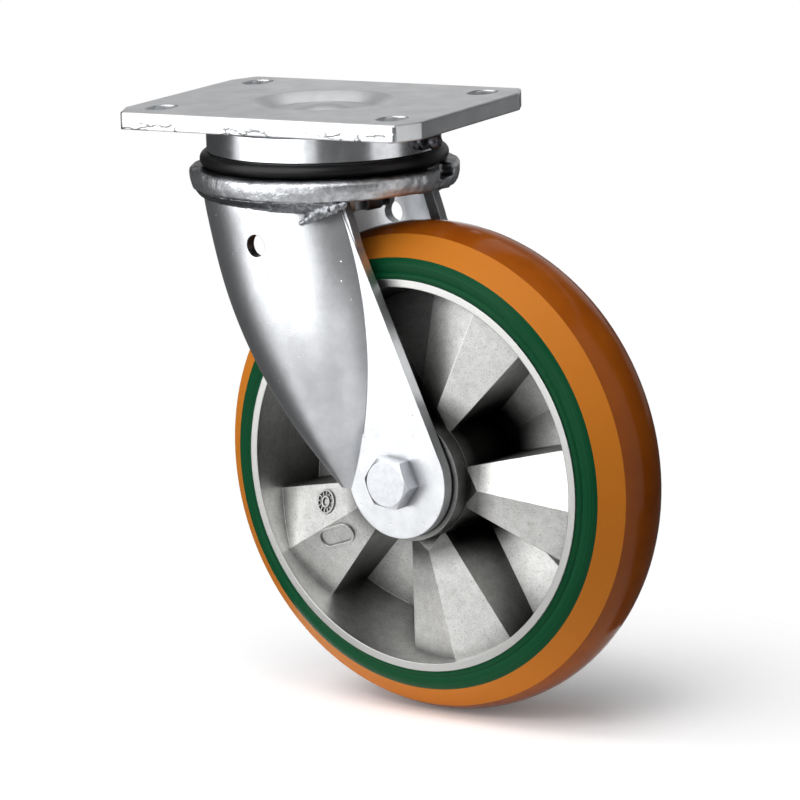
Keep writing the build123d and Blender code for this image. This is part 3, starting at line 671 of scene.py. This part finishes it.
def forged_crown():
    """The crown as it leaves the forging die: soft edges, a wavy wall and a torn notch."""
    metal = bmesh.new()
    add_copy(metal, "crown")
    skin = one_skin(metal, "forged_crown", CROWN_GRAIN)
    for size, depth in CROWN_WAVES:
        hammer(skin, size, depth, crown_wall)
    piece = shown_piece("forged_crown", skin, "fork", "crown")
    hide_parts("crown")


def deep_nut():
    """The round slotted nut with its lobes hanging below the crown."""
    metal = bmesh.new()
    add_copy(metal, "kingpin_nut")
    bottom = min(corner.co.z for corner in metal.verts)
    for corner in metal.verts:
        if corner.co.z < bottom + LOBE_BAND * MM:
            corner.co.z -= LOBE_DROP * MM
    piece = shown_piece("deep_nut", metal, "plate", "kingpin_nut")
    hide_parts("kingpin_nut")


def rounded_nipple():
    """Grease nipple with a chamfered hexagon and the round head that a grease gun grips."""
    metal = bmesh.new()
    height = (NIPPLE_HEX_HEIGHT + NIPPLE_SUNK) * MM
    corner = NIPPLE_HEX_RADIUS * MM
    hexagon = bmesh.ops.create_cone(
        metal, cap_ends=True, segments=6, radius1=corner, radius2=corner, depth=height
    )["verts"]
    bmesh.ops.translate(metal, verts=hexagon, vec=(0, 0, height / 2 - NIPPLE_SUNK * MM))
    rim = [edge for edge in metal.edges if min(end.co.z for end in edge.verts) > height / 2]
    bmesh.ops.bevel(
        metal,
        geom=rim,
        offset=NIPPLE_CHAMFER * MM,
        segments=2,
        profile=0.5,
        affect="EDGES",
        material=-1,
    )
    points = [metal.verts.new((radius * MM, 0, level * MM)) for radius, level in NIPPLE_HEAD]
    outline = [metal.edges.new(pair) for pair in zip(points, points[1:])]
    bmesh.ops.spin(
        metal,
        geom=points + outline,
        axis=(0, 0, 1),
        cent=(0, 0, 0),
        angle=2 * pi,
        steps=NIPPLE_STEPS,
        use_merge=True,
    )
    bmesh.ops.remove_doubles(metal, verts=metal.verts, dist=0.01 * MM)
    bmesh.ops.holes_fill(metal, edges=metal.edges, sides=0)
    bmesh.ops.recalc_face_normals(metal, faces=metal.faces)
    for face in metal.faces:
        face.smooth = len(face.verts) < 6
    seat = Matrix.Translation(Vector(NIPPLE_SEAT) * MM) @ Matrix.Rotation(pi / 2, 4, "Y")
    place = Matrix.Rotation(radians(NIPPLE_TURN), 4, "Z") @ seat
    bmesh.ops.transform(metal, matrix=place, verts=metal.verts)
    piece = shown_piece("rounded_nipple", metal, "plate", "grease_nipple")
    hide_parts("grease_nipple")


def piled_end(place):
    """How much of the lumps of a weld's piled-up end a place gets."""
    along = (fork_place.inverted() @ place).x - WELD_END_MIDDLE[0] * MM
    return max(0.0, 1.0 - abs(along) / (WELD_LUMP_REACH * MM))


def hammered_weld(side, mirrored):
    """The hand-laid run under the crown on one side, with its piled-up end."""
    node = "leg_weld_" + side
    name = node + "_bead"
    metal = bmesh.new()
    add_copy(metal, node)
    add_drops(metal, fork_place, [(x, y * mirrored, z, radius) for x, y, z, radius in WELD_END])
    skin = one_skin(metal, name, WELD_GRAIN)
    hammer(skin, *WELD_RIPPLES)
    hammer(skin, *WELD_LUMPS, piled_end)
    piece = shown_piece(name, skin, "fork", node)
    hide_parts(node)


def raised_outline(metal, place, straight_mm, radius_mm, wall_mm, rise_mm):
    """A raised oval, or a circle without a straight, on a surface that faces along place's Z."""
    corners_before = len(metal.verts)
    edges_before = len(metal.edges)
    root = Matrix.Translation((0, 0, -MARK_ROOT * MM)) @ Matrix.Rotation(pi / MARK_STEPS, 4, "Z")
    for reach in (radius_mm, radius_mm - wall_mm):
        loop = bmesh.ops.create_circle(metal, segments=MARK_STEPS, radius=reach * MM, matrix=root)
        for corner in loop["verts"]:
            corner.co.x += copysign(straight_mm / 2 * MM, corner.co.x)
    metal.edges.ensure_lookup_table()
    band = bmesh.ops.bridge_loops(metal, edges=metal.edges[edges_before:])["faces"]
    lifted = bmesh.ops.extrude_face_region(metal, geom=band)["geom"]
    top = [part for part in lifted if isinstance(part, bmesh.types.BMVert)]
    bmesh.ops.translate(metal, verts=top, vec=(0, 0, (rise_mm + MARK_ROOT) * MM))
    metal.verts.ensure_lookup_table()
    bmesh.ops.transform(metal, matrix=place, verts=metal.verts[corners_before:])


def on_blade(centre, outward, turn):
    """The place of a mark on a blade: mm from the wheel's centre, and its outward direction."""
    tilt = Vector(outward).to_track_quat("Z", "Y").to_matrix().to_4x4()
    seat = Matrix.Translation(Vector(centre) * MM)
    return wheel_place @ seat @ tilt @ Matrix.Rotation(radians(turn), 4, "Z")


def mould_marks():
    """Plain raised marks of the casting mould: a dial with ticks, and an empty oval beside it."""
    metal = bmesh.new()
    dial = on_blade(DIAL_CENTRE, DIAL_OUTWARD, 0)
    for radius in DIAL_RADII:
        raised_outline(metal, dial, 0, radius, DIAL_WALL, DIAL_RISE)
    for tick in range(DIAL_TICKS):
        turned = dial @ Matrix.Rotation(2 * pi * tick / DIAL_TICKS, 4, "Z")
        spot = turned @ Matrix.Translation((TICK_RADIUS * MM, 0, 0)) @ Matrix.Diagonal((*TICK_SIZE, 1))
        bmesh.ops.create_cube(metal, size=MM, matrix=spot)
    oval = on_blade(OVAL_CENTRE, OVAL_OUTWARD, OVAL_TURN)
    raised_outline(metal, oval, OVAL_STRAIGHT, OVAL_RADIUS, OVAL_WALL, OVAL_RISE)
    bmesh.ops.recalc_face_normals(metal, faces=metal.faces)
    shown_piece("mould_marks", metal, "wheel", "wheel_centre")


forged_crown()
deep_nut()
rounded_nipple()
hammered_weld("near", 1)
hammered_weld("far", -1)
mould_marks()

# The pale floor: its radius, and the distances from the point below the axle at which it fades
# into the white surround and at which its glow rises from the first strength to the second
FLOOR_RADIUS = 2.0
FLOOR_FADE = (0.085, 0.22)
FLOOR_RISE = (0.0, 0.20)
FLOOR_GLOW = (0.08, 0.40)

# The edges that the standing and lying cards share, as (radius, level) round the castor's middle
CARD_DISTANCE = 0.40
table = floor_level + MM
foot = (CARD_DISTANCE, table)
back_line = (CARD_DISTANCE, -0.03)
back_middle = (CARD_DISTANCE, 0.14)
head = (CARD_DISTANCE, 0.30)

# Cards that the gloss sees: first bearing and sweep in degrees, two edges, grey.
# The last value of the far right one says that it also keeps soft light off dull surfaces.
CARDS = (
    ("left_card", -125, 59, back_line, head, 0.06),
    ("low_left_card", -195, 129, foot, back_line, 0.06),
    ("back_card", -205, 80, back_line, back_middle, 0.60),
    ("high_back_card", -205, 80, back_middle, head, 0.30),
    ("dish_card", -164, 22, (0.30, -0.065), (0.30, 0.028), 1.0),
    ("left_table_card", -195, 143, (0.10, table), foot, 0.07),
    ("near_table_card", -52, 100, (0.10, table), (0.19, table), 0.40),
    ("front_table_card", -52, 100, (0.19, table), (0.33, table), 0.95),
    ("far_table_card", -32, 56, (0.33, table), (0.80, table), 0.24),
    ("ring_card", 14, 54, (0.16, -0.060), (0.16, 0.050), 0.12),
    ("right_card", 46, 26, foot, (CARD_DISTANCE, 0.12), 0.18),
    ("far_right_card", 105, 60, foot, head, 0.05, True),
    ("far_right_table_card", 95, 70, (0.12, table), foot, 0.08),
    ("ceiling_card", 60, 110, (0.001, 0.34), (CARD_DISTANCE, 0.34), 0.12),
    ("plate_edge_card", 143, 22, (0.37, -0.13), (0.37, -0.02), 0.30),
)

# Lamps: bearing and elevation in degrees, distance, width, height, power, seen in the gloss or not
LAMPS = (
    ("key_softbox", -26, 20, 1.2, 1.7, 1.5, 13.8, True),
    ("top_softbox", -75, 50, 1.0, 0.5, 0.5, 4.5, False),
    ("front_softbox", 22, 50, 1.0, 0.7, 0.5, 2.5, True),
    ("overhead_softbox", 50, 72, 1.0, 0.5, 0.5, 3.0, False),
)


def either_ray(tree, *kinds):
    """1 for a ray of any of these kinds, 0 for the others."""
    either = 0
    for kind in kinds:
        ray = add(tree, "ShaderNodeLightPath", {}, kind)
        either = add(tree, "ShaderNodeMath", {0: either, 1: ray}, operation="MAXIMUM")
    return either


# Matt white paint: pale grey-white near the castor, lost in the white surround further off
def white_studio_floor(tree):
    where = add(tree, "ShaderNodeTexCoord", {}, "Object")
    below_axle = (-axle_centre.x, -axle_centre.y, -floor_level)
    centred = add(tree, "ShaderNodeMapping", {"Vector": where, "Location": below_axle})
    distance = add(tree, "ShaderNodeVectorMath", {0: centred}, "Value", operation="LENGTH")
    glow = add(tree, "ShaderNodeMapRange", span(distance, FLOOR_RISE, FLOOR_GLOW))
    seen = either_ray(tree, "Is Camera Ray", "Is Glossy Ray")
    glow = add(tree, "ShaderNodeMath", {0: glow, 1: seen}, operation="MULTIPLY")
    matt = add(tree, "ShaderNodeBsdfDiffuse", {"Color": linear("#F4F4F4")})
    glow = add(tree, "ShaderNodeEmission", {"Color": linear("#FFFFFF"), "Strength": glow})
    pale = add(tree, "ShaderNodeAddShader", {0: matt, 1: glow})
    clear = add(tree, "ShaderNodeBsdfTransparent", {})
    fade = add(tree, "ShaderNodeMapRange", span(distance, FLOOR_FADE))
    return add(tree, "ShaderNodeMixShader", {0: fade, 1: pale, 2: clear})


def studio_floor():
    """Pale floor that keeps the castor's shadow and fades into the white background."""
    disc = bmesh.new()
    bmesh.ops.create_circle(disc, cap_ends=True, radius=FLOOR_RADIUS, segments=96)
    bmesh.ops.translate(disc, verts=disc.verts, vec=(0, 0, floor_level))
    floor = to_scene("studio_floor", to_mesh(disc, "studio_floor"))
    floor.data.materials.append(new_material("white_studio_floor", white_studio_floor))


def studio_card(name, start, sweep, near_edge, far_edge, grey, shades=False):
    """A curved grey card round the castor, seen in the gloss and hidden from the camera."""
    card = bmesh.new()
    first = radians(start - 90)
    ends = [
        card.verts.new((radius * cos(first), radius * sin(first), level))
        for radius, level in (near_edge, far_edge)
    ]
    edge = card.edges.new(ends)
    bmesh.ops.spin(
        card,
        geom=[*ends, edge],
        axis=(0, 0, 1),
        cent=(0, 0, 0),
        angle=radians(sweep),
        steps=24,
        use_merge=False,
    )
    bmesh.ops.translate(card, verts=card.verts, vec=(castor_middle.x, castor_middle.y, 0))
    board = to_scene(name, to_mesh(card, name))
    board.visible_camera = False
    board.visible_diffuse = shades
    board.visible_shadow = False

    def grey_card(tree):
        return add(tree, "ShaderNodeEmission", {"Color": (grey, grey, grey, 1)})

    board.data.materials.append(new_material(name, grey_card))


def softbox(name, bearing, elevation, distance, width, height, power, in_gloss):
    """An area lamp that shines on the castor from a bearing and an elevation in degrees."""
    lamp = bpy.data.lights.new(name, "AREA")
    lamp.shape = "RECTANGLE"
    lamp.size = width
    lamp.size_y = height
    lamp.energy = power
    light = to_scene(name, lamp)
    across, rise = radians(bearing), radians(elevation)
    direction = Vector((sin(across) * cos(rise), -cos(across) * cos(rise), sin(rise)))
    light.location = castor_middle + direction * distance
    light.rotation_euler = direction.to_track_quat("Z", "Y").to_euler()
    light.visible_glossy = in_gloss


def studio_world():
    """White to the eye and in the gloss, a soft grey surround for the light on the castor."""
    world = bpy.data.worlds.new("studio")
    world.use_nodes = True
    tree = world.node_tree
    tree.nodes.clear()
    seen = either_ray(tree, "Is Camera Ray", "Is Glossy Ray", "Is Transmission Ray")
    surround = add(tree, "ShaderNodeBackground", {"Color": linear("#666668")})
    white = add(tree, "ShaderNodeBackground", {"Color": linear("#FFFFFF")})
    either = add(tree, "ShaderNodeMixShader", {0: seen, 1: surround, 2: white})
    add(tree, "ShaderNodeOutputWorld", {"Surface": either})
    bpy.context.scene.world = world


def photo_camera():
    """The photograph's camera: a long lens aimed at the axle, which sits low and right of centre."""
    camera = bpy.data.cameras.new("photo_camera")
    camera.sensor_width = SENSOR_WIDTH
    camera.lens = VIEW_FOCAL_PX / PHOTO_SIZE * SENSOR_WIDTH
    camera.shift_x = -AXLE_PX_RIGHT / PHOTO_SIZE
    camera.shift_y = AXLE_PX_DOWN / PHOTO_SIZE
    camera.clip_end = VIEW_END
    stand = to_scene("photo_camera", camera)
    away = cos(VIEW_ELEVATION)
    back = Vector((sin(VIEW_AZIMUTH) * away, -cos(VIEW_AZIMUTH) * away, sin(VIEW_ELEVATION)))
    level = back.to_track_quat("Z", "Y").to_matrix().to_4x4()
    place = Matrix.Translation(axle_centre + back * VIEW_DISTANCE)
    stand.matrix_world = place @ level @ Matrix.Rotation(VIEW_ROLL, 4, "Z")
    bpy.context.scene.camera = stand


studio_floor()
for card in CARDS:
    studio_card(*card)
for lamp in LAMPS:
    softbox(*lamp)
studio_world()
photo_camera()

bpy.context.scene.view_settings.view_transform = "Standard"
